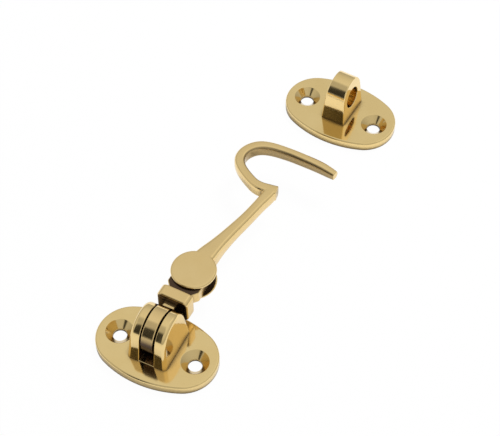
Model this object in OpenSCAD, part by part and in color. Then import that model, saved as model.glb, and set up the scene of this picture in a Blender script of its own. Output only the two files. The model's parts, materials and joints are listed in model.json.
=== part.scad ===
// Cabin hook and eye: a cast hook on a two-way joint, and an eye on a plate of its own.
// Millimetres. Plate 1 lies on z = 0 with its centre at the origin, and the hook points along +Y.

/* [Plates] */
// length of each oval plate
plate_len = 47; // [40:0.5:60]
// width of each oval plate
plate_wid = 30.5; // [27:0.5:40]
// thickness of each plate
plate_t = 3.7; // [3:0.1:5]
// radius of the oval's ends
plate_end_r = 13.2; // [11:0.1:13.4]
// distance between the two screw holes
screw_spacing = 30.5; // [28:0.5:34]
// radius of a screw hole
screw_r = 2.6; // [2:0.1:2.8]
// radius of the countersink at the face
screw_sink_r = 5.25; // [4:0.05:5.6]
// depth of the straight part under the countersink
screw_land = 1.2; // [0.6:0.1:1.6]

/* [Eye plate position] */
// eye plate's centre, sideways
eye_x = 14.9; // [0:0.1:30]
// eye plate's centre, along the hook
eye_y = 132.4; // [120:0.1:150]
// eye plate's turn about the vertical
eye_turn = -4.8; // [-10:0.1:10]

/* [Hinge post] */
// height of the hinge pin over the mounting face
pivot_z = 12.8; // [12.6:0.1:14]
// set-back of the post and its pin from the plate's middle
post_y = 1.4; // [0:0.1:2]
// radius of the lugs' round heads
lug_r = 8.35; // [7.8:0.05:8.5]
// depth of the post at its foot
post_foot_d = 19.6; // [18:0.1:20]
// width of the post across both lugs at the top
post_top_w = 13.2; // [13:0.1:15]
// width of the post at its foot
post_foot_w = 15.8; // [15:0.1:17]
// width of the slot between the lugs
lug_slot_w = 5.9; // [5.7:0.1:6.4]
// radius of the spigot riveted through the plate
post_spigot_r = 5.6; // [4:0.1:6.4]
// radius of both pins
pin_r = 2; // [1.5:0.1:2.4]
// running clearance round each pin
pin_gap = 0.05; // [0.02:0.01:0.1]

/* [Link] */
// thickness of the upright tongue
tongue_t = 4.7; // [4.4:0.1:5.2]
// radius of the upright tongue's round end
tongue_r = 8.6; // [8:0.1:8.6]
// height of the neck between the tongue and the shoulder
neck_h = 5.2; // [4.6:0.1:6]
// lean of the shoulder and the flat tongue to the side
link_turn = 2.4; // [0:0.1:3]
// distance from the hinge pin to the shoulder
shoulder_y = 10.6; // [10.5:0.1:11.5]
// thickness of the shoulder along the hook
shoulder_t = 5; // [4:0.1:5.4]
// width of the shoulder
shoulder_w = 12.6; // [11:0.1:14]
// height of the shoulder
shoulder_h = 10.8; // [10.6:0.1:12]
// corner radius of the shoulder
shoulder_r = 2; // [0.5:0.1:3]
// distance from the hinge pin to the swivel pin
swivel_y = 26.6; // [26.4:0.1:28]
// thickness of the flat tongue in the fork
flat_t = 5.2; // [4.6:0.1:5.3]
// width of the flat tongue
flat_w = 12.8; // [11:0.1:13]
// width of the flat tongue's waist behind the shoulder
flat_waist_w = 8.8; // [8:0.1:10]

/* [Hook] */
// radius of the fork's round head
fork_r = 8.5; // [7.5:0.1:9]
// thickness of the fork over both cheeks
fork_t = 7.8; // [7.6:0.1:9]
// height of the fork's slot
fork_slot = 5.5; // [5.4:0.05:5.7]
// depth of the slot behind the swivel pin
fork_slot_y = 6.9; // [6.8:0.1:7.4]
// rounding of the fork's rims
fork_edge = 0.9; // [0.3:0.1:1]
// thickness of the arm and the crook
hook_t = 5.6; // [4.5:0.1:6]
// roundness of the section at the fork, from 0.2 for square edges to 1 for an ellipse
head_soft = 0.36; // [0.2:0.02:1]
// roundness of the arm's section
arm_soft = 0.58; // [0.2:0.02:1]
// roundness of the section where the crook leaves the arm
bend_soft = 0.46; // [0.2:0.02:1]
// roundness of the finger's section
finger_soft = 0.7; // [0.2:0.02:1]
// width of the slim end of the arm
arm_w = 4.3; // [3.6:0.1:5]
// width of the crook's bend
bend_w = 4.2; // [3.4:0.1:5]
// width of the finger
finger_w = 3.8; // [3.2:0.1:4]
// thickness left at the finger's tip
tip_t = 3.4; // [2.5:0.1:4]

/* [Eye] */
// radius of the eye's round head
eye_r = 7.1; // [6.8:0.05:7.5]
// height of the head's centre over the mounting face
eye_head_z = 14.5; // [14:0.1:16]
// depth of the eye at its foot
eye_foot_d = 16; // [15:0.1:17]
// width of the eye at the top
eye_top_w = 7.4; // [6.5:0.1:9]
// width of the eye at its foot
eye_foot_w = 10.2; // [8:0.1:11]
// radius of the hole that takes the hook's finger
eye_hole_r = 4.4; // [4:0.1:4.8]
// height of the hole's centre
eye_hole_z = 12.7; // [12:0.1:14]
// set-back of the eye from its plate's middle
eye_set = 1.1; // [0:0.1:2]
// radius of the spigot riveted through the plate
eye_spigot_r = 3.4; // [2.5:0.1:4]

/* [Hidden] */
$fn = 64;

brass = [0.80, 0.66, 0.36];
steel = [0.72, 0.62, 0.40];

// four-arc oval: the end arcs' centres and the long arcs' radius
oval_c = plate_len / 2 - plate_end_r;
oval_k = plate_wid / 2 - plate_end_r;
oval_d = (oval_c * oval_c - oval_k * oval_k) / (2 * oval_k);
oval_R = plate_wid / 2 + oval_d;
oval_x = oval_c + plate_end_r * oval_c / norm([oval_c, oval_d]);

// how far a shape reaches into its neighbour where the two are one casting
overlap = 0.05;
// length of a cut that goes right through a piece
through = 40;
// how far a spigot's root stands inside the block above it
spigot_root = 0.5;

// the slot between the lugs goes a little below the tongue's lowest point
slot_room = 0.3;
slot_floor = pivot_z - tongue_r - slot_room;
// the hinge pin: one end just below the lug's face, the other under a blind wall
hinge_pin_sink = 0.2;
hinge_pin_wall = 1.6;
post_rise = (pivot_z - plate_t) / (pivot_z + lug_r - plate_t);
post_pin_w = post_foot_w + (post_top_w - post_foot_w) * post_rise;
hinge_pin_start = hinge_pin_sink - post_pin_w / 2;
hinge_pin_end = post_pin_w / 2 - hinge_pin_wall;
// the neck reaches into the shoulder by this much
neck_root = 0.6;
// the swivel pin stands at the end of the leaning link
swivel_at = [swivel_y * sin(link_turn), post_y + swivel_y * cos(link_turn), 0];
// the swivel pin goes in from below and stops under the upper cheek's face
swivel_pin_wall = 0.5;
fork_z0 = pivot_z - fork_t / 2;
fork_z1 = pivot_z + fork_t / 2;
swivel_pin_top = fork_z1 - swivel_pin_wall;
// the flat tongue widens from its waist between these two distances behind the shoulder
flare_start = 0.8;
flare_end = 3.2;

// sections between two named ones
root_soft = (2 * head_soft + arm_soft) / 3;
taper_soft = (head_soft + 2 * arm_soft) / 3;
bow_soft = (bend_soft + finger_soft) / 2;

// stations down the middle of the cast hook: x, y, width, thickness, roundness
arm_path = [
    [1, 31.1, 9, fork_t, head_soft],
    [2.1, 37.1, 7.6, fork_t - 0.4, root_soft],
    [3.4, 43.1, 6, hook_t + 0.8, taper_soft],
    [5.1, 50.1, 5, hook_t + 0.2, arm_soft],
    [7.4, 59, arm_w, hook_t, arm_soft],
    [9.1, 67, arm_w, hook_t, arm_soft],
    [10.3, 72.5, arm_w + 0.3, hook_t, bend_soft],
    [10.6, 75.6, arm_w + 0.3, hook_t, bend_soft]
];
crook_path = [
    [12.7, 75.3, bend_w, hook_t - 0.2, bend_soft],
    [9, 74.8, bend_w, hook_t - 0.1, bend_soft],
    [5.7, 74.6, bend_w, hook_t - 0.1, bend_soft],
    [2, 75.7, bend_w - 0.3, hook_t, bend_soft],
    [-4.3, 79.9, bend_w - 0.2, hook_t, bow_soft],
    [-7.1, 84, bend_w + 0.1, hook_t, bow_soft],
    [-6.7, 88.5, bend_w + 0.1, hook_t, bow_soft],
    [-3.7, 92.4, bend_w, hook_t, bow_soft],
    [1, 94.3, bend_w - 0.2, hook_t - 0.1, bow_soft],
    [8.5, 94.8, finger_w, hook_t - 0.3, finger_soft],
    [16.4, 94.5, finger_w, hook_t - 0.6, finger_soft],
    [22.4, 94, finger_w, hook_t - 1, finger_soft],
    [26.4, 93.3, finger_w - 0.2, tip_t + 0.7, finger_soft],
    [29.3, 92.7, finger_w - 0.8, tip_t, finger_soft]
];

// smooth curve through a list of stations
function blend(a, b, c, d, t) =
    0.5 * (2 * b + (c - a) * t + (2 * a - 5 * b + 4 * c - d) * t * t
    + (3 * b - a - 3 * c + d) * t * t * t);
function at(path, i) = path[max(0, min(len(path) - 1, i))];
function smooth_path(path, steps) = [
    for (i = [0 : len(path) - 2], k = [0 : steps - 1])
        blend(at(path, i - 1), at(path, i), at(path, i + 1), at(path, i + 2), k / steps),
    path[len(path) - 1]
];

// one ring of a loft: a rounded rectangle square to the path
function heading(p, i) =
    let (a = p[max(0, i - 1)], b = p[min(len(p) - 1, i + 1)])
    atan2(b[1] - a[1], b[0] - a[0]);
function soft(v, power) = sign(v) * pow(abs(v), power);
function ring(s, dir, sides) = [
    for (k = [0 : sides - 1])
        let (
            t = 360 * (k + 0.5) / sides,
            u = s[2] / 2 * soft(cos(t), s[4]),
            w = s[3] / 2 * soft(sin(t), s[4])
        )
        [s[0] + u * sin(dir), s[1] - u * cos(dir), pivot_z + w]
];

// loft: a bar that follows a list of stations
module loft(path, steps, sides, first_dir, last_dir) {
    p = smooth_path(path, steps);
    n = len(p);
    dirs = [
        for (i = [0 : n - 1])
            i == 0 ? first_dir : i == n - 1 ? last_dir : heading(p, i)
    ];
    points = [for (i = [0 : n - 1]) each ring(p[i], dirs[i], sides)];
    skin = [
        for (i = [0 : n - 2], k = [0 : sides - 1])
            let (j = (k + 1) % sides)
            each [
                [i * sides + k, (i + 1) * sides + j, (i + 1) * sides + k],
                [i * sides + k, i * sides + j, (i + 1) * sides + j]
            ]
    ];
    first_cap = [for (k = [sides - 1 : -1 : 0]) k];
    last_cap = [for (k = [0 : sides - 1]) (n - 1) * sides + k];
    polyhedron(points, concat(skin, [first_cap, last_cap]), convexity = 6);
}

module at_eye_plate() {
    translate([eye_x, eye_y, 0])
        rotate([0, 0, eye_turn])
            children();
}

// the leaning half of the link, measured from the hinge pin
module at_link() {
    translate([0, post_y, 0])
        rotate([0, 0, -link_turn])
            children();
}

module oval_plate() {
    linear_extrude(plate_t)
        union() {
            intersection() {
                translate([0, -oval_d]) circle(r = oval_R);
                translate([0, oval_d]) circle(r = oval_R);
                square([2 * oval_x, 2 * plate_wid], center = true);
            }
            translate([-oval_c, 0]) circle(r = plate_end_r);
            translate([oval_c, 0]) circle(r = plate_end_r);
        }
}

module screw_holes() {
    for (side = [-1, 1])
        translate([side * screw_spacing / 2, 0, 0]) {
            translate([0, 0, -1])
                cylinder(h = plate_t + 2, r = screw_r);
            translate([0, 0, screw_land])
                cylinder(h = plate_t - screw_land, r1 = screw_r, r2 = screw_sink_r);
            translate([0, 0, plate_t])
                cylinder(h = 1, r = screw_sink_r);
        }
}

module backplate(spigot_r, spigot_y) {
    difference() {
        oval_plate();
        screw_holes();
        translate([0, spigot_y, -1])
            cylinder(h = plate_t + 2, r = spigot_r);
    }
}

// angle on a round head where the straight side from the foot touches it
function touch(head_r, head_z, foot_d) =
    let (corner = [foot_d / 2, plate_t - head_z])
    atan2(corner[1], corner[0]) + acos(head_r / norm(corner));

// a round-headed block: its side view, trimmed by the draft of its front view
module round_block(head_r, head_z, foot_d, foot_w, top_w) {
    t = touch(head_r, head_z, foot_d);
    touch_y = (head_r - overlap) * cos(t);
    touch_z = head_z + (head_r - overlap) * sin(t);
    intersection() {
        translate([-foot_w, 0, 0])
            rotate([90, 0, 90])
                linear_extrude(2 * foot_w)
                    union() {
                        translate([0, head_z]) circle(r = head_r);
                        polygon([
                            [-foot_d / 2, plate_t], [foot_d / 2, plate_t],
                            [touch_y, touch_z], [-touch_y, touch_z]
                        ]);
                    }
        translate([0, 2 * head_r, 0])
            rotate([90, 0, 0])
                linear_extrude(4 * head_r)
                    polygon([
                        [-foot_w / 2, plate_t], [foot_w / 2, plate_t],
                        [top_w / 2, head_z + head_r + overlap],
                        [-top_w / 2, head_z + head_r + overlap]
                    ]);
    }
}

module rounded_bar(w, h, r, t) {
    rotate([90, 0, 0])
        linear_extrude(t)
            union() {
                square([w - 2 * r, h], center = true);
                square([w, h - 2 * r], center = true);
                for (sx = [-1, 1], sz = [-1, 1])
                    translate([sx * (w / 2 - r), sz * (h / 2 - r)])
                        circle(r = r);
            }
}

module hook_backplate() {
    color(brass)
        backplate(post_spigot_r, post_y);
}

module hinge_post() {
    color(brass)
        translate([0, post_y, 0])
            difference() {
                union() {
                    round_block(lug_r, pivot_z, post_foot_d, post_foot_w, post_top_w);
                    cylinder(h = plate_t + spigot_root, r = post_spigot_r);
                }
                translate([-lug_slot_w / 2, -through / 2, slot_floor])
                    cube([lug_slot_w, through, through]);
                translate([-through, 0, pivot_z])
                    rotate([0, 90, 0])
                        cylinder(h = through + hinge_pin_end, r = pin_r);
            }
}

module hinge_pin() {
    color(steel)
        translate([hinge_pin_start, post_y, pivot_z])
            rotate([0, 90, 0])
                cylinder(h = hinge_pin_end - hinge_pin_start, r = pin_r);
}

// side view of the upright tongue: a round end, and a neck that runs into the shoulder
module tongue_side() {
    circle(r = tongue_r);
    translate([0, -neck_h / 2])
        square([shoulder_y + neck_root, neck_h]);
}

// plan of the flat tongue: waisted at the shoulder, round about the swivel pin
module flat_plan() {
    half = flat_w / 2;
    waist = flat_waist_w / 2;
    back = shoulder_y + shoulder_t;
    root = back - shoulder_t / 2;
    translate([0, swivel_y])
        circle(r = half + overlap);
    polygon([
        [-waist, root], [-waist, back + flare_start], [-half, back + flare_end], [-half, swivel_y],
        [half, swivel_y], [half, back + flare_end], [waist, back + flare_start], [waist, root]
    ]);
}

module swivel_link() {
    color(brass)
        difference() {
            union() {
                translate([-tongue_t / 2, post_y, pivot_z])
                    rotate([90, 0, 90])
                        linear_extrude(tongue_t)
                            tongue_side();
                at_link()
                    translate([0, shoulder_y + shoulder_t, pivot_z])
                        rounded_bar(shoulder_w, shoulder_h, shoulder_r, shoulder_t);
                at_link()
                    translate([0, 0, pivot_z - flat_t / 2])
                        linear_extrude(flat_t)
                            flat_plan();
            }
            translate([-through / 2, post_y, pivot_z])
                rotate([0, 90, 0])
                    cylinder(h = through, r = pin_r + pin_gap);
            translate(swivel_at)
                cylinder(h = through, r = pin_r + pin_gap);
        }
}

module swivel_pin() {
    color(steel)
        translate(swivel_at + [0, 0, fork_z0])
            cylinder(h = swivel_pin_top - fork_z0, r = pin_r);
}

module fork_head() {
    translate(swivel_at + [0, 0, pivot_z])
        rotate_extrude()
            polygon([
                [0, -fork_t / 2],
                [fork_r - fork_edge, -fork_t / 2],
                [fork_r - fork_edge * 0.3, -fork_t / 2 + fork_edge * 0.3],
                [fork_r, -fork_t / 2 + fork_edge],
                [fork_r, fork_t / 2 - fork_edge],
                [fork_r - fork_edge * 0.3, fork_t / 2 - fork_edge * 0.3],
                [fork_r - fork_edge, fork_t / 2],
                [0, fork_t / 2]
            ]);
}

module hook() {
    color(brass)
        difference() {
            union() {
                fork_head();
                loft(arm_path, 3, 16, 80, 90);
                loft(crook_path, 4, 16, 180, -14);
            }
            translate(swivel_at + [-through / 2, -through, pivot_z - fork_slot / 2])
                cube([through, through + fork_slot_y, fork_slot]);
            translate(swivel_at + [0, 0, fork_z0 - 1])
                cylinder(h = swivel_pin_top - fork_z0 + 1, r = pin_r);
        }
}

module eye_backplate() {
    color(brass)
        at_eye_plate()
            backplate(eye_spigot_r, eye_set);
}

module eye() {
    color(brass)
        at_eye_plate()
            translate([0, eye_set, 0])
                difference() {
                    union() {
                        round_block(eye_r, eye_head_z, eye_foot_d, eye_foot_w, eye_top_w);
                        cylinder(h = plate_t + spigot_root, r = eye_spigot_r);
                    }
                    translate([-through / 2, 0, eye_hole_z])
                        rotate([0, 90, 0])
                            cylinder(h = through, r = eye_hole_r);
                }
}

hook_backplate();
hinge_post();
hinge_pin();
swivel_link();
swivel_pin();
hook();
eye_backplate();
eye();
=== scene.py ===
import bpy
import bmesh
import json
import math
from mathutils import Matrix, Vector


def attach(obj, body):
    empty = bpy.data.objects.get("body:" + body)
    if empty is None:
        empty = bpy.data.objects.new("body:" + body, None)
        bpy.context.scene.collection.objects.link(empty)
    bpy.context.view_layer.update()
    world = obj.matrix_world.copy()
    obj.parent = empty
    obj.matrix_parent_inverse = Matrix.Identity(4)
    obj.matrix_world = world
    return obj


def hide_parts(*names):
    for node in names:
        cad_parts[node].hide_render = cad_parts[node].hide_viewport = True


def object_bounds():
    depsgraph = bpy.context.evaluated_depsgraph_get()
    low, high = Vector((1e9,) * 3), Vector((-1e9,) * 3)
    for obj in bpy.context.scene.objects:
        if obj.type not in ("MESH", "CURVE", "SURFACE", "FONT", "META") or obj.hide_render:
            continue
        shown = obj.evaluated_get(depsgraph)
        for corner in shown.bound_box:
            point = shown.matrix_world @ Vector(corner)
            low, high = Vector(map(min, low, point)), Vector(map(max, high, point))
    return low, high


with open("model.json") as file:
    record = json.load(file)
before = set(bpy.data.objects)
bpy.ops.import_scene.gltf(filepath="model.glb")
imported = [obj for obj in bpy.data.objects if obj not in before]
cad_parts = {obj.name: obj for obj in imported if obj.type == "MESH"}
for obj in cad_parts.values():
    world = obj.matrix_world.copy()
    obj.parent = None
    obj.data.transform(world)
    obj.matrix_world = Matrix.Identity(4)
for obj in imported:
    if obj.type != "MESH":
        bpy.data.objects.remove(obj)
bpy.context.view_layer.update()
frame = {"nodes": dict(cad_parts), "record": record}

mm = 0.001
scene = bpy.context.scene
mounts = {mount["name"]: mount for mount in frame["record"]["mounts"]}
joints = {joint["name"]: joint for joint in frame["record"]["behaviour"]["joints"]}
hinge = Vector(joints["link_hinge"]["pos_m"]) / mm
swivel = Vector(joints["hook_swivel"]["pos_m"]) / mm
pivotZ = hinge.z                       # height of both joints over the mounting face
linkReach = (swivel - hinge).length    # hinge pin to swivel pin
linkTurn = math.atan2(hinge.x - swivel.x, swivel.y - hinge.y)
print("frame loaded:", ", ".join(sorted(frame["nodes"])))


# helpers for shapes, all in millimetres

def linkMesh(name, mesh):
    obj = bpy.data.objects.new(name, mesh)
    scene.collection.objects.link(obj)
    return obj


def freeze(obj):
    # turns the modifiers of a piece into plain mesh
    evaluated = obj.evaluated_get(bpy.context.evaluated_depsgraph_get())
    mesh = bpy.data.meshes.new_from_object(evaluated)
    obj.modifiers.clear()
    old = obj.data
    obj.data = mesh
    if old.users == 0:
        bpy.data.meshes.remove(old)
    return obj


def carve(obj, tool, operation):
    mod = obj.modifiers.new("carve", "BOOLEAN")
    mod.operation = operation
    mod.solver = "MANIFOLD" if operation == "UNION" else "EXACT"
    mod.object = tool
    freeze(obj)
    bpy.data.objects.remove(tool)
    return obj


def meshPiece(name, bm):
    bmesh.ops.recalc_face_normals(bm, faces=bm.faces)
    mesh = bpy.data.meshes.new(name)
    bm.to_mesh(mesh)
    bm.free()
    return linkMesh(name, mesh)


def loopRows(bm, rows, capped=False):
    # joins closed rows of points with quads and gives back the first and the last row
    made = [[bm.verts.new([c * mm for c in point]) for point in row] for row in rows]
    for low, high in zip(made, made[1:]):
        for i in range(len(low)):
            j = (i + 1) % len(low)
            bm.faces.new((low[i], low[j], high[j], high[i]))
    if capped:
        bm.faces.new(made[0])
        bm.faces.new(made[-1])
    return made[0], made[-1]


def prism(name, outline, low, high, place):
    # outline is a list of (a, b), and place turns (a, b, height) into a point
    bm = bmesh.new()
    loopRows(bm, [[place(a, b, h) for a, b in outline] for h in (low, high)], capped=True)
    return meshPiece(name, bm)


def alongX(a, b, h):
    return (h, a, b)


def alongY(a, b, h):
    return (a, h, b)


def alongZ(a, b, h):
    return (a, b, h)


def arcPoints(centre, radius, start, end, steps):
    return [(centre[0] + radius * math.cos(start + (end - start) * i / steps),
             centre[1] + radius * math.sin(start + (end - start) * i / steps)) for i in range(steps + 1)]


def ringOutline(radius, centre=(0, 0), count=96):
    return arcPoints(centre, radius, 0, 2 * math.pi, count)[:-1]


def shift(x, y):
    return Matrix.Translation(Vector((x, y, 0)) * mm)


def movePiece(obj, matrix):
    obj.data.transform(matrix)
    obj.data.update()
    return obj


softSettings = {
    "mergeGap": 0.01, "flatAngle": 0.4,     # clean-up before the edges are rounded
    "sharpAngle": 32, "seatSlack": 0.01,    # which edges are rounded
    "faceWeight": 100,                      # how strongly flat faces keep their shading
}


def softEdges(obj, width, keepZ=None, segments=3, fine=None):
    # rounds the edges that a polishing wheel takes off, but not those that sit at keepZ,
    # and fine gives the share of the width that an edge takes from its middle
    s = softSettings
    bm = bmesh.new()
    bm.from_mesh(obj.data)
    bmesh.ops.remove_doubles(bm, verts=bm.verts, dist=s["mergeGap"] * mm)
    bmesh.ops.dissolve_limit(bm, angle_limit=math.radians(s["flatAngle"]), verts=bm.verts, edges=bm.edges)
    bmesh.ops.recalc_face_normals(bm, faces=bm.faces)
    weight = bm.edges.layers.float.new("bevel_weight_edge")
    for edge in bm.edges:
        seated = keepZ is not None and all(abs(v.co.z / mm - keepZ) < s["seatSlack"] for v in edge.verts)
        sharp = len(edge.link_faces) == 2 and edge.calc_face_angle() > math.radians(s["sharpAngle"])
        if sharp and not seated:
            middle = (edge.verts[0].co + edge.verts[1].co) / (2 * mm)
            edge[weight] = fine(middle) if fine else 1.0
    bm.to_mesh(obj.data)
    bm.free()
    mod = obj.modifiers.new("softEdges", "BEVEL")
    mod.width = width * mm
    mod.segments = segments
    mod.limit_method = "WEIGHT"
    mod.miter_outer = "MITER_ARC"
    return freeze(obj)


def evenShade(obj, angle=50):
    # smooth shading that keeps flat faces flat and inner corners crisp
    for face in obj.data.polygons:
        face.use_smooth = True
    obj.data.set_sharp_from_angle(angle=math.radians(angle))
    mod = obj.modifiers.new("evenShade", "WEIGHTED_NORMAL")
    mod.weight = softSettings["faceWeight"]
    mod.keep_sharp = True
    return freeze(obj)


def paintDullShade(obj, test):
    # marks points with a share of painted shade and of a rougher finish, or with less than 0 takes painted
    # shade off points in a recess;
    # test gives their share from the place and the normal
    layer = obj.data.attributes.new("dullShade", "FLOAT", "POINT")
    for point in obj.data.vertices:
        layer.data[point.index].value = test(point.co / mm, point.normal)
    return obj


def shareBetween(value, start, end):
    return min(1, max(0, (value - start) / (end - start)))


# helpers for node trees

def feed(tree, socket, value):
    # a number, colour or vector is set on the socket itself, and an output is linked to it
    if isinstance(value, (int, float, tuple)):
        socket.default_value = value
    else:
        tree.links.new(value, socket)


def mathNode(tree, operation, *values):
    node = tree.nodes.new("ShaderNodeMath")
    node.operation = operation
    for socket, value in zip(node.inputs, values):
        feed(tree, socket, value)
    return node.outputs[0]


def mixNode(tree, kind, factor, first, second, blend="MIX"):
    node = tree.nodes.new("ShaderNodeMix")
    node.data_type = kind
    node.blend_type = blend
    for label, value in (("Factor", factor), ("A", first), ("B", second)):
        feed(tree, node.inputs[label], value)
    return node.outputs["Result"]


def rangeNode(tree, value, given, wanted=(0, 1), smooth=False):
    node = tree.nodes.new("ShaderNodeMapRange")
    node.interpolation_type = "SMOOTHSTEP" if smooth else "LINEAR"
    for label, limit in zip(("From Min", "From Max", "To Min", "To Max"), given + wanted):
        node.inputs[label].default_value = limit
    tree.links.new(value, node.inputs["Value"])
    return node.outputs["Result"]


# polished brass, with a drift in colour, hairlines, a faint unevenness, and painted shade in the recesses,
# which are rougher as well

brassLooks = {
    "plate": {"colour": (0.875, 0.667, 0.302), "rough": 0.09, "marks": (60, 900, 900), "seed": 1.0},
    "post": {"colour": (0.875, 0.66, 0.298), "rough": 0.09, "marks": (900, 120, 120), "seed": 2.3},
    "link": {"colour": (0.865, 0.64, 0.288), "rough": 0.10, "marks": (160, 900, 160), "seed": 3.1},
    "hook": {"colour": (0.855, 0.64, 0.294), "rough": 0.11, "marks": (260, 120, 260), "seed": 4.7},
    "pin": {"colour": (0.80, 0.58, 0.26), "rough": 0.16, "marks": (900, 900, 900), "seed": 5.9},
}
polishSettings = {
    "lacquer": 0.25, "lacquerRough": 0.06,
    # each noise is a step of the seed, a scale and a detail
    "drift": (0, 110, 5), "driftSpan": (0.3, 0.7), "driftTint": (0.96, 0.94, 0.89),
    "hair": (0.5, 6, 3), "hairSpan": (0.3, 0.7), "hairRough": (0.75, 1.35),
    "wave": (1.5, 160, 2), "waveStrength": 0.05, "waveDepth": 0.0006,
}
# painted shade: the dark brown painted into recesses and gaps between parts, the roughness there, and the
# reach and samples of the occlusion
paintedShadeSettings = {
    "colour": (0.085, 0.05, 0.028), "rough": 0.38,
    "reach": 0.0045, "closed": 0.40, "open": 0.80, "samples": 8,
}


def polishedBrass(name, look):
    p, t = polishSettings, paintedShadeSettings
    mat = bpy.data.materials.new(name)
    mat.use_nodes = True
    tree = mat.node_tree
    nodes, links = tree.nodes, tree.links
    shader = nodes["Principled BSDF"]
    shader.inputs["Metallic"].default_value = 1.0
    shader.inputs["Coat Weight"].default_value = p["lacquer"]
    shader.inputs["Coat Roughness"].default_value = p["lacquerRough"]
    place = nodes.new("ShaderNodeTexCoord").outputs["Object"]

    def noise(kind, source):
        step, scale, detail = kind
        node = nodes.new("ShaderNodeTexNoise")
        node.noise_dimensions = "4D"
        node.inputs["W"].default_value = look["seed"] + step
        node.inputs["Scale"].default_value = scale
        node.inputs["Detail"].default_value = detail
        links.new(source, node.inputs["Vector"])
        return node.outputs["Fac"]

    # slow drift of the alloy's colour, and a little warm tarnish
    clean = look["colour"]
    warm = tuple(c * share for c, share in zip(clean, p["driftTint"]))
    tint = nodes.new("ShaderNodeValToRGB")
    for stop, position, colour in zip(tint.color_ramp.elements, p["driftSpan"], (warm, clean)):
        stop.position = position
        stop.color = colour + (1,)
    links.new(noise(p["drift"], place), tint.inputs["Fac"])

    # painted shade: ambient occlusion darkens the base colour to a dark brown in corners, slots and gaps
    # between parts, the marked points add to it, and both make the finish rougher
    occlusion = nodes.new("ShaderNodeAmbientOcclusion")
    occlusion.samples = t["samples"]
    occlusion.inputs["Distance"].default_value = t["reach"]
    recess = rangeNode(tree, occlusion.outputs["AO"], (t["closed"], t["open"]), (1, 0), smooth=True)
    dullShade = nodes.new("ShaderNodeAttribute")
    dullShade.attribute_name = "dullShade"
    shadeAndDull = mathNode(tree, "ADD", recess, dullShade.outputs["Fac"])
    shadeAndDull.node.use_clamp = True
    shadedColour = mixNode(tree, "RGBA", shadeAndDull, tint.outputs["Color"], t["colour"] + (1,))
    links.new(shadedColour, shader.inputs["Base Color"])

    # hairlines left by the polishing wheel
    stretch = nodes.new("ShaderNodeMapping")
    stretch.inputs["Scale"].default_value = look["marks"]
    links.new(place, stretch.inputs["Vector"])
    hairRough = tuple(look["rough"] * share for share in p["hairRough"])
    spread = rangeNode(tree, noise(p["hair"], stretch.outputs["Vector"]), p["hairSpan"], hairRough)
    links.new(mixNode(tree, "FLOAT", shadeAndDull, spread, t["rough"]), shader.inputs["Roughness"])

    # the unevenness of a casting finished by hand
    bump = nodes.new("ShaderNodeBump")
    bump.inputs["Strength"].default_value = p["waveStrength"]
    bump.inputs["Distance"].default_value = p["waveDepth"]
    links.new(noise(p["wave"], place), bump.inputs["Height"])
    links.new(bump.outputs["Normal"], shader.inputs["Normal"])
    return mat


brass = {key: polishedBrass("brass" + key.capitalize(), look) for key, look in brassLooks.items()}
print("materials made:", len(brass))


def finishPiece(obj, finish, body, node):
    obj.data.materials.clear()
    obj.data.materials.append(brass[finish])
    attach(obj, body)
    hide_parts(node)
    triangles = sum(len(face.vertices) - 2 for face in obj.data.polygons)
    print("piece", obj.name, "has", triangles, "triangles")


# oval plates with countersunk screw holes

plateSettings = {
    "length": 47, "width": 30.5, "thick": 3.7, "endRadius": 13.2, "arcSteps": 48,
    "topEdge": 0.8, "topSteps": 6, "backEdge": 0.2, "backSteps": 3, "creaseAngle": 60,
    "screwSpacing": 30.5, "screwRadius": 2.6, "sinkRadius": 5.25, "land": 1.2, "sinkEdge": 0.18,
    "spigotRoom": 0.02, "spigotEdge": 0.1,
    "sinkDullShade": 0.14, "sinkSlack": 0.1, "sinkTilt": (0.5, 0.95),
}


def ovalLoop(inset):
    # four arcs: two round ends and two long sides
    s = plateSettings
    c = s["length"] / 2 - s["endRadius"]
    k = s["width"] / 2 - s["endRadius"]
    d = (c * c - k * k) / (2 * k)
    long = s["width"] / 2 + d
    turn = math.atan2(d, c)
    quarter = math.pi / 2
    points = []
    for middle, centre, radius, half in (
        (0, (c, 0), s["endRadius"], turn),
        (quarter, (0, -d), long, quarter - turn),
        (math.pi, (-c, 0), s["endRadius"], turn),
        (-quarter, (0, d), long, quarter - turn),
    ):
        points += arcPoints(centre, radius - inset, middle - half, middle + half, s["arcSteps"])[:-1]
    return points


def quarterRound(radius, steps):
    # pairs of inset and drop from the wall round to the face
    return [(radius - x, radius - y) for x, y in arcPoints((0, 0), radius, 0, math.pi / 2, steps)]


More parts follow.
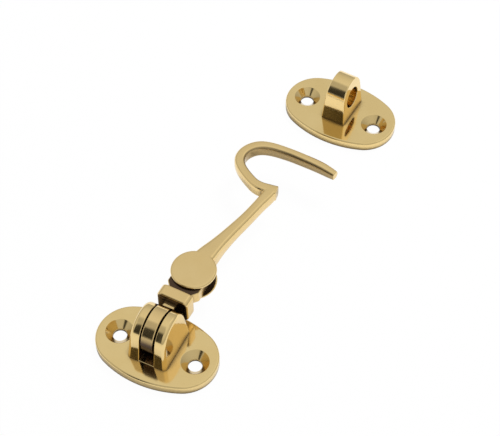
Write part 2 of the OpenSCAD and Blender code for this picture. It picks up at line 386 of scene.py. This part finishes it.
def makePlate(name, spigotRadius, spigotY):
    s = plateSettings
    t = s["thick"]
    bm = bmesh.new()
    rim = quarterRound(s["backEdge"], s["backSteps"])[::-1]
    rim += [(inset, t - drop) for inset, drop in quarterRound(s["topEdge"], s["topSteps"])]
    loops = [loopRows(bm, [[(x, y, z) for x, y in ovalLoop(inset)] for inset, z in rim])]
    # radius and height up each hole: a screw's has a land, a cone and a rounded lip
    r, sink, e = s["screwRadius"], s["sinkRadius"], s["sinkEdge"]
    screwHole = [(r, 0), (r, s["land"] - e / 2), (r + e / 2, s["land"] + e / 2),
                 (sink - e, t - e * 1.1), (sink - e / 3, t - e / 3), (sink + e / 2, t)]
    bore = spigotRadius + s["spigotRoom"]
    spigotHole = [(bore + s["spigotEdge"], 0), (bore, s["spigotEdge"]), (bore, t)]
    apart = s["screwSpacing"] / 2
    for spot, profile in (((-apart, 0), screwHole), ((apart, 0), screwHole), ((0, spigotY), spigotHole)):
        rows = [[point + (z,) for point in ringOutline(radius, spot)] for radius, z in profile]
        loops.append(loopRows(bm, rows))
    for rings in zip(*loops):
        edges = [bm.edges.get((ring[i - 1], ring[i])) for ring in rings for i in range(len(ring))]
        bmesh.ops.triangle_fill(bm, use_beauty=True, use_dissolve=False, edges=edges)
    plate = evenShade(meshPiece(name, bm), s["creaseAngle"])

    def rough(spot, normal):
        # the countersinks get painted shade and a rougher finish, and the rounded long edges get as much
        low, high = s["sinkTilt"]
        sunk = s["land"] - s["sinkSlack"] < spot.z < t - s["sinkSlack"] and low < normal.z < high
        return s["sinkDullShade"] if sunk and abs(spot.x) < apart + sink else 0.0

    return paintDullShade(plate, rough)


eyeSpot = Vector(mounts["eye_plate_screws"]["pos_m"])
eyeAxis = mounts["eye_hole"]["axis"]
toEye = Matrix.Translation(eyeSpot) @ Matrix.Rotation(math.atan2(eyeAxis[1], eyeAxis[0]), 4, "Z")
eyeHole = toEye.inverted() @ Vector(mounts["eye_hole"]["pos_m"]) / mm


# the hinge post and the eye: round-headed blocks with drafted sides, riveted through the plates

postSettings = {
    "headRadius": 8.35, "headZ": pivotZ, "headSteps": 72,
    "footDepth": 19.6, "footWidth": 15.8, "topWidth": 13.2,
    "slotWidth": 5.9, "slotFloor": 3.9, "pinRadius": 2.02, "pinEnd": 5.65, "pinSteps": 64,
    "edge": 1.5, "edgeSteps": 5, "slotEdge": 0.3, "spigotRadius": 5.6,
}
eyeSettings = {
    "headRadius": 7.1, "headZ": 14.5, "headSteps": 72,
    "footDepth": 16, "footWidth": 10.2, "topWidth": 7.4,
    "holeRadius": 4.4, "holeEdge": 0.4, "holeDullShade": 0.1,
    "edge": 0.6, "edgeSteps": 4, "spigotRadius": 3.4,
}
spigotSettings = {"edge": 0.12, "edgeSteps": 2}
through = 40     # length of a cut that goes right through
overlap = 0.1    # how far one shape runs into the next
nearby = 0.1     # how close to a cut its own edges are


def roundBlock(name, s):
    # straight flanks run up from the foot and touch the round head
    footZ = plateSettings["thick"]
    half = s["footDepth"] / 2
    drop = footZ - s["headZ"]
    lean = math.atan2(drop, half) + math.acos(s["headRadius"] / math.hypot(half, drop))
    head = arcPoints((0, s["headZ"]), s["headRadius"], lean, math.pi - lean, s["headSteps"])
    block = prism(name, [(half, footZ)] + head + [(-half, footZ)], -through / 2, through / 2, alongX)
    top = s["headZ"] + s["headRadius"] + overlap
    wide, narrow = s["footWidth"] / 2, s["topWidth"] / 2
    taper = prism("taper", [(-wide, footZ), (wide, footZ), (narrow, top), (-narrow, top)],
                  -through / 2, through / 2, alongY)
    return carve(block, taper, "INTERSECT")


def finishBlock(obj, s, fine):
    # rounds the block's edges, but not its foot's, and adds the spigot under it
    foot = plateSettings["thick"]
    softEdges(obj, s["edge"], foot, s["edgeSteps"], fine)
    spigot = prism("spigot", ringOutline(s["spigotRadius"]), 0, foot + overlap, alongZ)
    softEdges(spigot, spigotSettings["edge"], foot + overlap, spigotSettings["edgeSteps"])
    return evenShade(carve(obj, spigot, "UNION"))


def makePost():
    s = postSettings
    post = roundBlock("hingePost", s)
    half, low = s["slotWidth"] / 2, s["slotFloor"]
    slot = [(-half, low), (half, low), (half, through), (-half, through)]
    carve(post, prism("slot", slot, -through, through, alongY), "DIFFERENCE")
    bore = ringOutline(s["pinRadius"], (0, s["headZ"]), s["pinSteps"])
    carve(post, prism("bore", bore, -through, s["pinEnd"], alongX), "DIFFERENCE")

    def fine(spot):
        # the slot's edges and the bore's stay crisper than the outer ones
        atBore = math.hypot(spot.y, spot.z - s["headZ"]) < s["pinRadius"] + nearby
        return s["slotEdge"] / s["edge"] if atBore or abs(spot.x) < half + nearby else 1.0

    return movePiece(finishBlock(post, s, fine), shift(hinge.x, hinge.y))


def makeEye():
    s = eyeSettings
    eye = roundBlock("eyeStaple", s)
    hole = ringOutline(s["holeRadius"], (0, eyeHole.z))
    carve(eye, prism("hole", hole, -through, through, alongX), "DIFFERENCE")

    def fine(spot):
        inside = math.hypot(spot.y, spot.z - eyeHole.z) < s["holeRadius"] + nearby
        return s["holeEdge"] / s["edge"] if inside else 1.0

    def rough(spot, normal):
        # painted shade and a rougher finish inside the hole
        inside = math.hypot(spot.y, spot.z - eyeHole.z) < s["holeRadius"] + nearby / 2
        return s["holeDullShade"] if inside else 0.0

    paintDullShade(finishBlock(eye, s, fine), rough)
    return movePiece(eye, toEye @ shift(0, eyeHole.y))


hookPlate = makePlate("hookPlate", postSettings["spigotRadius"], hinge.y)
finishPiece(hookPlate, "plate", "mounting", "hook_backplate")
eyePlate = movePiece(makePlate("eyePlate", eyeSettings["spigotRadius"], eyeHole.y), toEye)
finishPiece(eyePlate, "plate", "mounting", "eye_backplate")
finishPiece(makePost(), "post", "mounting", "hinge_post")
finishPiece(makeEye(), "post", "mounting", "eye")


# the link: upright tongue, shoulder and flat tongue in one casting

linkSettings = {
    "tongueRadius": 8.6, "tongueThick": 4.7, "tongueSteps": 96, "neckHeight": 5.2,
    "shoulderY": 10.6, "shoulderThick": 5, "shoulderWidth": 12.6, "shoulderHeight": 10.8,
    "shoulderCorner": 2, "cornerSteps": 10, "shoulderEdge": 0.9, "shoulderEdgeSteps": 4,
    "flatThick": 5.2, "flatWidth": 12.8, "flatSteps": 48,
    "waistWidth": 8.8, "flareStart": 0.8, "flareEnd": 3.2,
    "boreRadius": 2.05, "boreSteps": 64, "edge": 0.35, "inside": 0.6,
    # how much painted shade, with a rougher finish, the places get, and where they are
    "faceDullShade": 0.9, "faceTilt": 0.8, "faceSlack": 0.5,
    "neckShadeLift": -0.7, "neckStart": 3, "neckGap": 0.4, "neckRise": 2,
    "flatRise": 3, "flatReach": 8, "flatTilt": 0.9, "flatSlack": 0.5,
    "tongueFrom": 18, "tongueTo": 14.5,
}


def tongueOutline(s):
    half, back = s["neckHeight"] / 2, s["shoulderY"] + s["inside"]
    reach = math.asin(half / s["tongueRadius"])
    head = arcPoints((0, 0), s["tongueRadius"], reach, 2 * math.pi - reach, s["tongueSteps"])
    return [(y, z + pivotZ) for y, z in head + [(back, -half), (back, half)]]


def flatOutline(s):
    half, waist = s["flatWidth"] / 2, s["waistWidth"] / 2
    back = s["shoulderY"] + s["shoulderThick"]
    end = arcPoints((0, linkReach), half, 0, math.pi, s["flatSteps"])
    left = [(-half, back + s["flareEnd"]), (-waist, back + s["flareStart"]), (-waist, back - s["inside"])]
    return end + left + [(-x, y) for x, y in reversed(left)]


def shoulderOutline(s):
    # a rectangle with round corners
    corner = s["shoulderCorner"]
    x, z = s["shoulderWidth"] / 2 - corner, s["shoulderHeight"] / 2 - corner
    points = []
    for sideX, sideZ, start in ((1, 1, 0), (-1, 1, 90), (-1, -1, 180), (1, -1, 270)):
        spot = (sideX * x, pivotZ + sideZ * z)
        points += arcPoints(spot, corner, math.radians(start), math.radians(start + 90), s["cornerSteps"])
    return points


def makeLink():
    # measured from the hinge pin; the shoulder and the flat tongue lean a little to one side
    s = linkSettings
    lean = Matrix.Rotation(linkTurn, 4, "Z")
    half = s["tongueThick"] / 2
    link = prism("swivelLink", tongueOutline(s), -half, half, alongX)
    bore = ringOutline(s["boreRadius"], (0, pivotZ), s["boreSteps"])
    carve(link, prism("bore", bore, -through, through, alongX), "DIFFERENCE")
    softEdges(link, s["edge"])
    front, back = s["shoulderY"], s["shoulderY"] + s["shoulderThick"]
    shoulder = prism("shoulder", shoulderOutline(s), front, back, alongY)
    softEdges(shoulder, s["shoulderEdge"], segments=s["shoulderEdgeSteps"])
    carve(link, movePiece(shoulder, lean), "UNION")
    thin = s["flatThick"] / 2
    flat = prism("flat", flatOutline(s), pivotZ - thin, pivotZ + thin, alongZ)
    bore = ringOutline(s["boreRadius"], (0, linkReach), s["boreSteps"])
    carve(flat, prism("bore", bore, 0, through, alongZ), "DIFFERENCE")
    softEdges(flat, s["edge"])
    carve(link, movePiece(flat, lean), "UNION")
    movePiece(evenShade(link), shift(hinge.x, hinge.y))
    face = hinge.y + front

    def rough(spot, normal):
        if normal.y < -s["faceTilt"] and spot.y > face - s["faceSlack"]:
            return s["faceDullShade"]    # painted shade and a rougher finish on the shoulder's face over the neck
        if hinge.y + s["neckStart"] < spot.y < face - s["neckGap"] and spot.z > pivotZ + s["neckRise"]:
            return s["neckShadeLift"]    # painted shade taken off the neck's top, so it looks lighter
        reach = (spot - swivel).xy.length
        bare = reach < linkReach - back + s["flatSlack"] and abs(normal.z) > s["flatTilt"]
        if abs(spot.z - pivotZ) < s["flatRise"] and (reach < s["flatReach"] or bare):
            return 1.0    # painted shade and a rougher finish on the flat tongue, in the fork and up to the shoulder
        # painted shade and a rougher finish on the upright tongue, growing towards the bottom of its slot
        return shareBetween(spot.z, s["tongueFrom"], s["tongueTo"]) if spot.y < hinge.y else 0.0

    return paintDullShade(link, rough)


finishPiece(makeLink(), "link", "link", "swivel_link")


# the hook: bars lofted along their stations by Geometry Nodes, joined to a forked head

hookSettings = {
    "headRadius": 8.5, "headThick": 7.8, "headEdge": 0.9, "headSteps": 128, "rimSteps": 8,
    "slot": 5.5, "slotDepth": 6.9, "sides": 48, "armRings": 120, "crookRings": 220,
    "voxel": 0.2, "smoothing": 7, "smoothShare": 0.5,
    # stations down the middle of each bar: x, y, width, thickness, roundness of the section
    "arm": [
        (1, 31.1, 9, 7.8, 0.36), (2.1, 37.1, 7.6, 7.7, 0.43), (3.4, 43.1, 6, 6.6, 0.51),
        (5.1, 50.1, 5, 5.8, 0.58), (7.4, 59, 4.3, 5.6, 0.58), (9.1, 67, 4.3, 5.6, 0.58),
        (10.3, 72.5, 4.6, 5.6, 0.46), (10.6, 75.6, 4.6, 5.6, 0.46),
    ],
    "crook": [
        (12.7, 75.3, 4.2, 5.4, 0.46), (9, 74.8, 4.2, 5.5, 0.46), (5.7, 74.6, 4.2, 5.5, 0.46),
        (2, 75.7, 3.9, 5.6, 0.46), (-4.3, 79.9, 4, 5.6, 0.58), (-7.1, 84, 4.3, 5.6, 0.58),
        (-6.7, 88.5, 4.3, 5.6, 0.58), (-3.7, 92.4, 4.2, 5.6, 0.58), (1, 94.3, 4, 5.5, 0.58),
        (8.5, 94.8, 4, 5.4, 0.7), (16.4, 94.5, 4, 5.1, 0.7), (22.4, 94, 4, 4.7, 0.7),
        (26.4, 93.3, 3.7, 4.2, 0.7), (29.3, 92.7, 3.1, 3.5, 0.7),
    ],
    "mouthSlack": 0.15, "mouthInset": 0.5,
    # painted shade and a rougher finish on the inside of the crook, which faces a line along x at this y
    "insideDullShade": 0.55, "insideFrom": 76, "insideX": (0, 26), "insideY": 85, "insideFacing": (0.35, 0.65),
}
barSettings = {"indexNudge": 0.25, "seamGap": 0.001}


def barTree():
    # follows a line of stations and skins it with a rounded section
    s = barSettings
    tree = bpy.data.node_groups.new("castBar", "GeometryNodeTree")
    tree.interface.new_socket("Geometry", in_out="INPUT", socket_type="NodeSocketGeometry")
    for label, count in (("Rings", hookSettings["crookRings"]), ("Sides", hookSettings["sides"])):
        tree.interface.new_socket(label, in_out="INPUT", socket_type="NodeSocketInt").default_value = count
    tree.interface.new_socket("Finish", in_out="INPUT", socket_type="NodeSocketMaterial")
    tree.interface.new_socket("Geometry", in_out="OUTPUT", socket_type="NodeSocketGeometry")
    nodes, links = tree.nodes, tree.links
    given = nodes.new("NodeGroupInput")
    made = nodes.new("NodeGroupOutput")

    def calc(operation, *values):
        return mathNode(tree, operation, *values)

    def vectorNode(operation, first, second):
        node = nodes.new("ShaderNodeVectorMath")
        node.operation = operation
        links.new(first, node.inputs[0])
        feed(tree, node.inputs["Scale"] if operation == "SCALE" else node.inputs[1], second)
        return node.outputs[0]

    toCurve = nodes.new("GeometryNodeMeshToCurve")
    links.new(given.outputs["Geometry"], toCurve.inputs["Mesh"])
    smooth = nodes.new("GeometryNodeCurveSplineType")
    smooth.spline_type = "CATMULL_ROM"
    links.new(toCurve.outputs["Curve"], smooth.inputs["Curve"])
    even = nodes.new("GeometryNodeResampleCurve")
    links.new(smooth.outputs["Curve"], even.inputs["Curve"])
    links.new(given.outputs["Rings"], even.inputs["Count"])

    # a grid with one row for each ring, and a last column that falls on the first
    grid = nodes.new("GeometryNodeMeshGrid")
    perRing = calc("ADD", given.outputs["Sides"], 1)
    links.new(given.outputs["Rings"], grid.inputs["Vertices X"])
    links.new(perRing, grid.inputs["Vertices Y"])
    index = nodes.new("GeometryNodeInputIndex").outputs[0]
    ringIndex = calc("FLOOR", calc("DIVIDE", calc("ADD", index, s["indexNudge"]), perRing))
    column = calc("SUBTRACT", index, calc("MULTIPLY", ringIndex, perRing))
    column = calc("FLOORED_MODULO", column, given.outputs["Sides"])
    angle = calc("MULTIPLY", calc("DIVIDE", column, given.outputs["Sides"]), 2 * math.pi)

    def sampleAt(kind, field):
        node = nodes.new("GeometryNodeSampleIndex")
        node.data_type = kind
        links.new(even.outputs["Curve"], node.inputs["Geometry"])
        links.new(field, node.inputs["Value"])
        links.new(ringIndex, node.inputs["Index"])
        return node.outputs["Value"]

    def stored(name):
        node = nodes.new("GeometryNodeInputNamedAttribute")
        node.inputs["Name"].default_value = name
        return sampleAt("FLOAT", node.outputs["Attribute"])

    roundness = stored("roundness")

    def softened(trig):
        value = calc(trig, angle)
        power = calc("POWER", calc("ABSOLUTE", value), roundness)
        return calc("MULTIPLY", calc("SIGN", value), power)

    centre = sampleAt("FLOAT_VECTOR", nodes.new("GeometryNodeInputPosition").outputs[0])
    heading = sampleAt("FLOAT_VECTOR", nodes.new("GeometryNodeInputTangent").outputs[0])
    sideways = vectorNode("CROSS_PRODUCT", heading, (0, 0, 1))
    wide = calc("MULTIPLY", stored("halfWide"), softened("COSINE"))
    rise = nodes.new("ShaderNodeCombineXYZ")
    links.new(calc("MULTIPLY", stored("halfDeep"), softened("SINE")), rise.inputs["Z"])
    spot = vectorNode("ADD", centre, vectorNode("SCALE", sideways, wide))
    spot = vectorNode("ADD", spot, rise.outputs[0])

    place = nodes.new("GeometryNodeSetPosition")
    links.new(grid.outputs["Mesh"], place.inputs["Geometry"])
    links.new(spot, place.inputs["Position"])
    seam = nodes.new("GeometryNodeMergeByDistance")
    seam.inputs["Distance"].default_value = s["seamGap"] * mm
    links.new(place.outputs["Geometry"], seam.inputs["Geometry"])
    real = nodes.new("GeometryNodeRealizeInstances")
    links.new(seam.outputs["Geometry"], real.inputs["Geometry"])
    paint = nodes.new("GeometryNodeSetMaterial")
    links.new(real.outputs["Geometry"], paint.inputs["Geometry"])
    links.new(given.outputs["Finish"], paint.inputs["Material"])
    links.new(paint.outputs["Geometry"], made.inputs["Geometry"])
    return tree


castBar = barTree()


def makeBar(name, stations, rings):
    mesh = bpy.data.meshes.new(name)
    points = [(station[0] * mm, station[1] * mm, pivotZ * mm) for station in stations]
    mesh.from_pydata(points, [(i, i + 1) for i in range(len(points) - 1)], [])
    for label, column, scale in (("halfWide", 2, mm / 2), ("halfDeep", 3, mm / 2), ("roundness", 4, 1)):
        layer = mesh.attributes.new(label, "FLOAT", "POINT")
        for i, station in enumerate(stations):
            layer.data[i].value = station[column] * scale
    obj = linkMesh(name, mesh)
    mod = obj.modifiers.new("castBar", "NODES")
    mod.node_group = castBar
    sockets = {item.name: item.identifier for item in castBar.interface.items_tree if item.in_out == "INPUT"}
    mod[sockets["Rings"]] = rings
    mod[sockets["Sides"]] = hookSettings["sides"]
    mod[sockets["Finish"]] = brass["hook"]
    freeze(obj)
    # both ends are closed
    bm = bmesh.new()
    bm.from_mesh(obj.data)
    bmesh.ops.holes_fill(bm, edges=[e for e in bm.edges if e.is_boundary], sides=0)
    bmesh.ops.recalc_face_normals(bm, faces=bm.faces)
    bm.to_mesh(obj.data)
    bm.free()
    return obj


def makeHead(name):
    # a disc with a rounded rim
    s = hookSettings
    r, h, e = s["headRadius"], s["headThick"] / 2, s["headEdge"]
    rim = arcPoints((r - e, h - e), e, math.pi / 2, 0, s["rimSteps"])
    rim += [(x, -z) for x, z in reversed(rim)]
    bm = bmesh.new()
    centre = (swivel.x, swivel.y)
    rows = [[point + (pivotZ + z,) for point in ringOutline(x, centre, s["headSteps"])] for x, z in rim]
    loopRows(bm, rows, capped=True)
    return meshPiece(name, bm)


def makeHook():
    s = hookSettings
    hook = makeHead("hookCasting")
    carve(hook, makeBar("arm", s["arm"], s["armRings"]), "UNION")
    carve(hook, makeBar("crook", s["crook"], s["crookRings"]), "UNION")
    mouth, end = swivel.y - through, swivel.y + s["slotDepth"]
    slot = [(-through, mouth), (through, mouth), (through, end), (-through, end)]
    half = s["slot"] / 2
    carve(hook, prism("slot", slot, pivotZ - half, pivotZ + half, alongZ), "DIFFERENCE")
    # one skin for the whole casting, then the polish that rounds its edges
    remesh = hook.modifiers.new("cast", "REMESH")
    remesh.mode = "VOXEL"
    remesh.voxel_size = s["voxel"] * mm
    freeze(hook)
    polish = hook.modifiers.new("polish", "SMOOTH")
    polish.factor = s["smoothShare"]
    polish.iterations = s["smoothing"]
    freeze(hook)
    for face in hook.data.polygons:
        face.use_smooth = True
    startX, endX = s["insideX"]

    def rough(spot, normal):
        inSlot = abs(spot.z - pivotZ) < half + s["mouthSlack"]
        if inSlot and (spot - swivel).xy.length < s["headRadius"] - s["mouthInset"]:
            return 1.0    # painted shade and a rougher finish in the fork's mouth
        if spot.y <= s["insideFrom"]:
            return 0.0
        middle = Vector((min(endX, max(startX, spot.x)), s["insideY"], spot.z))
        inward = (middle - spot).normalized().dot(normal)
        return shareBetween(inward, *s["insideFacing"]) * s["insideDullShade"]

    return paintDullShade(hook, rough)


finishPiece(makeHook(), "hook", "hook_arm", "hook")

# both pins keep their exact solids
for pinNode in ("hinge_pin", "swivel_pin"):
    pin = frame["nodes"][pinNode]
    pin.data.materials.clear()
    pin.data.materials.append(brass["pin"])
print("pins finished")


# floor, light and camera

stageSettings = {
    "floorSize": 3.0, "floorGap": 0.00005, "floorTone": 0.85, "whiteShare": 0.97, "polishShare": 0.12,
    # brightness of the studio by height, from the horizon to straight up
    "skyTones": ((0, 0.45), (0.342, 0.58), (0.643, 0.70), (0.788, 0.73), (0.866, 0.76), (1, 0.80)),
    # patches of the room, in degrees from straight in front: middle, half size and soft edge, then the tone
    "patches": (
        {"aside": (-21, 10, 6), "height": (25, 25, 9), "tone": 0.07},
        {"aside": (-30, 50, 20), "height": (63, 14, 10), "tone": 0.66},
        {"aside": (156, 16, 6), "height": (46, 18, 8), "tone": 1.2},
    ),
    "lampSpot": (0.2, 0.6, 0.85), "lampAim": (0.01, 0.06, 0), "lampSize": 0.35, "lampPower": 6.5,
}


def makeFloor():
    s = stageSettings
    half = s["floorSize"] / 2
    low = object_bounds()[0][2] - s["floorGap"]
    mesh = bpy.data.meshes.new("floor")
    corners = [(-half, -half, low), (half, -half, low), (half, half, low), (-half, half, low)]
    mesh.from_pydata(corners, [], [(0, 1, 2, 3)])
    mat = bpy.data.materials.new("paleFloor")
    mat.use_nodes = True
    tree = mat.node_tree
    nodes, links = tree.nodes, tree.links
    nodes.clear()
    out = nodes.new("ShaderNodeOutputMaterial")
    matte = nodes.new("ShaderNodeBsdfDiffuse")
    matte.inputs["Color"].default_value = (s["floorTone"],) * 3 + (1,)
    glow = nodes.new("ShaderNodeEmission")
    # the camera sees white paper with a faint shadow, and the polish sees some of that white too
    rays = nodes.new("ShaderNodeLightPath").outputs
    seen = mathNode(tree, "MULTIPLY", rays["Is Camera Ray"], s["whiteShare"])
    mirrored = mathNode(tree, "MAXIMUM", rays["Is Glossy Ray"], rays["Is Transmission Ray"])
    mirrored = mathNode(tree, "MULTIPLY", mirrored, s["polishShare"])
    mix = nodes.new("ShaderNodeMixShader")
    links.new(mathNode(tree, "MAXIMUM", seen, mirrored), mix.inputs["Fac"])
    links.new(matte.outputs[0], mix.inputs[1])
    links.new(glow.outputs[0], mix.inputs[2])
    links.new(mix.outputs[0], out.inputs["Surface"])
    mesh.materials.append(mat)
    linkMesh("floor", mesh)


def makeSky():
    s = stageSettings
    world = bpy.data.worlds.new("studio")
    scene.world = world
    world.use_nodes = True
    tree = world.node_tree
    nodes, links = tree.nodes, tree.links
    nodes.clear()
    out = nodes.new("ShaderNodeOutputWorld")
    shade = nodes.new("ShaderNodeBackground")
    coords = nodes.new("ShaderNodeTexCoord")
    parts = nodes.new("ShaderNodeSeparateXYZ")
    links.new(coords.outputs["Generated"], parts.inputs[0])
    ramp = nodes.new("ShaderNodeValToRGB")
    stops = ramp.color_ramp.elements
    for i, (height, tone) in enumerate(s["skyTones"]):
        stop = stops[i] if i < 2 else stops.new(height)    # a new ramp has two stops already
        stop.position = height
        stop.color = (tone, tone, tone, 1)
    links.new(parts.outputs["Z"], ramp.inputs["Fac"])

    def calc(operation, *values):
        return mathNode(tree, operation, *values)

    def within(angle, middle, half, soft):
        # 1 inside a band of angles, with soft edges
        away = calc("ABSOLUTE", calc("SUBTRACT", angle, middle))
        return rangeNode(tree, away, (half + soft, half - soft), smooth=True)

    # the room is dark low in front, dim above that, and a little brighter behind
    aside = calc("DEGREES", calc("ARCTAN2", parts.outputs["X"], calc("MULTIPLY", parts.outputs["Y"], -1)))
    height = calc("DEGREES", calc("ARCSINE", parts.outputs["Z"]))
    share = 1
    for patch in s["patches"]:
        spread = calc("MULTIPLY", within(aside, *patch["aside"]), within(height, *patch["height"]))
        share = calc("MULTIPLY", share, calc("ADD", calc("MULTIPLY", spread, patch["tone"] - 1), 1))
    tone = mixNode(tree, "RGBA", 1.0, ramp.outputs["Color"], share, blend="MULTIPLY")
    rays = nodes.new("ShaderNodeLightPath")
    paper = mixNode(tree, "RGBA", rays.outputs["Is Camera Ray"], tone, (1, 1, 1, 1))
    links.new(paper, shade.inputs["Color"])
    links.new(shade.outputs[0], out.inputs["Surface"])


def makeLamp():
    s = stageSettings
    data = bpy.data.lights.new("softbox", "AREA")
    data.shape = "SQUARE"
    data.size = s["lampSize"]
    data.energy = s["lampPower"]
    lamp = bpy.data.objects.new("softbox", data)
    scene.collection.objects.link(lamp)
    spot = Vector(s["lampSpot"])
    turn = (Vector(s["lampAim"]) - spot).to_track_quat("-Z", "Y")
    lamp.matrix_world = Matrix.Translation(spot) @ turn.to_matrix().to_4x4()
    lamp.visible_glossy = False    # it lights the floor and stays out of the polish


cameraSettings = {
    "azimuth": 25.57, "elevation": 52.48, "roll": -0.26,
    "distance": 512.1, "offsetX": -33.129, "offsetY": -47.949,    # millimetres
    "focal": 1419.6, "centreX": 249.36, "centreY": 218.78,        # pixels
    "imageWidth": 500, "imageHeight": 436, "sensor": 36, "clipStart": 0.01,
}


def makeCamera():
    s = cameraSettings
    az, el, roll = (math.radians(s[k]) for k in ("azimuth", "elevation", "roll"))
    back = Vector((math.sin(az) * math.cos(el), -math.cos(az) * math.cos(el), math.sin(el)))
    right = Vector((math.cos(az), math.sin(az), 0))
    up = back.cross(right)
    camX = right * math.cos(roll) + up * math.sin(roll)
    camY = -right * math.sin(roll) + up * math.cos(roll)
    spot = (back * s["distance"] - camX * s["offsetX"] - camY * s["offsetY"]) * mm
    data = bpy.data.cameras.new("camera")
    data.sensor_width = s["sensor"]
    data.sensor_fit = "HORIZONTAL"
    data.lens = s["focal"] * s["sensor"] / s["imageWidth"]
    data.shift_x = (s["imageWidth"] / 2 - s["centreX"]) / s["imageWidth"]
    data.shift_y = (s["centreY"] - s["imageHeight"] / 2) / s["imageWidth"]
    data.clip_start = s["clipStart"]
    camera = bpy.data.objects.new("camera", data)
    scene.collection.objects.link(camera)
    turn = Matrix((camX, camY, back)).transposed().to_4x4()
    camera.matrix_world = Matrix.Translation(spot) @ turn
    scene.camera = camera


makeFloor()
makeSky()
makeLamp()
makeCamera()
scene.view_settings.view_transform = "Standard"
print("stage ready")
